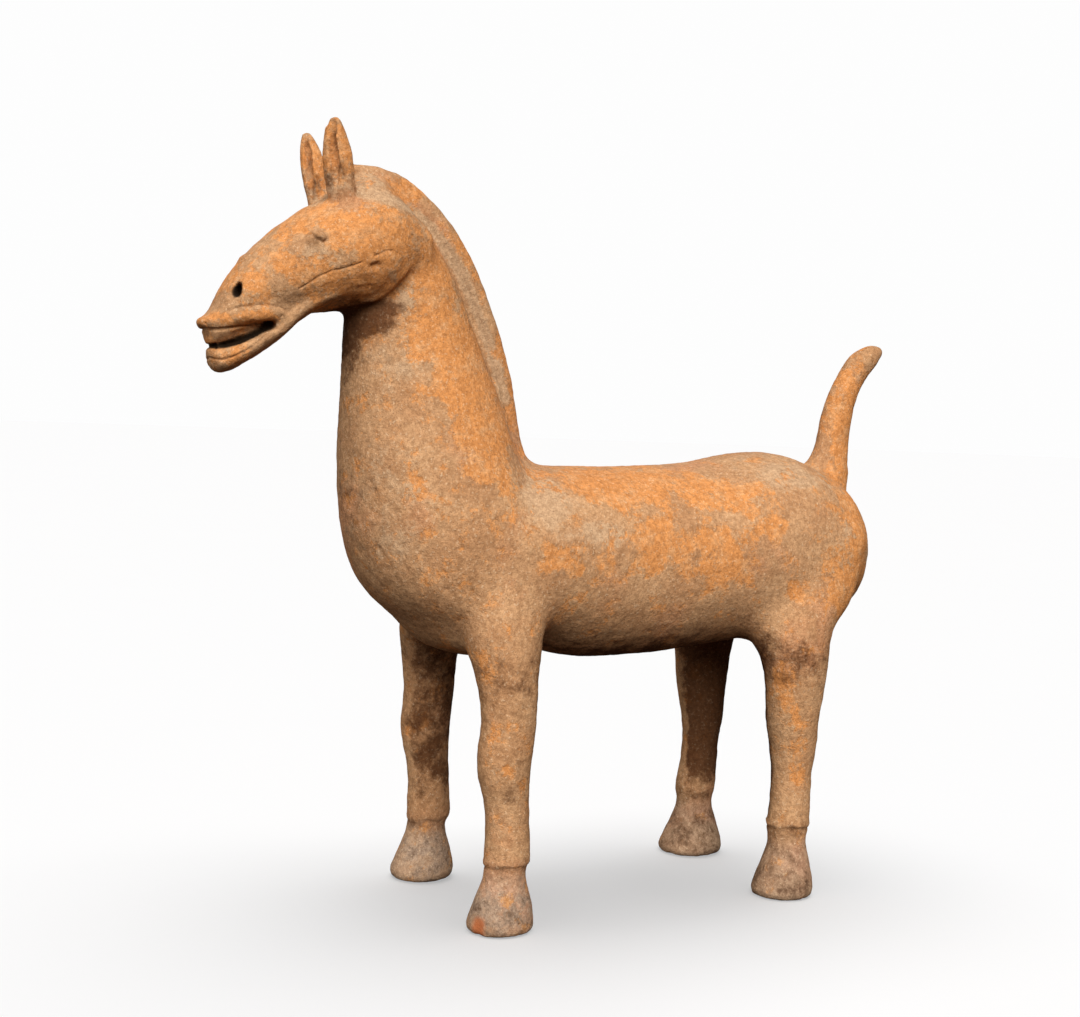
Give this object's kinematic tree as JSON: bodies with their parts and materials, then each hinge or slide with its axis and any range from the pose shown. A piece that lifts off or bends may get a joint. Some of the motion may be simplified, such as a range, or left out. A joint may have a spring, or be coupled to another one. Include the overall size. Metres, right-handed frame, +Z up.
{
  "type": "pottery horse",
  "caption": "Standing fired-clay horse with arched neck, flat mane ridge, upright ears, open mouth and raised tail.",
  "frame": {"origin": "on the ground, at the middle of the figure's bounding box seen from above", "axes": "-Y the way the horse faces, +X its left side, +Z up"},
  "size_m": [0.2134, 0.642, 0.6221],
  "materials": {
    "fired_clay": "matt, low-fired orange clay with a tan skin of dried soil"
  },
  "bodies": {
    "root": {"pottery_horse": "fired_clay"}
  },
  "joints": []
}
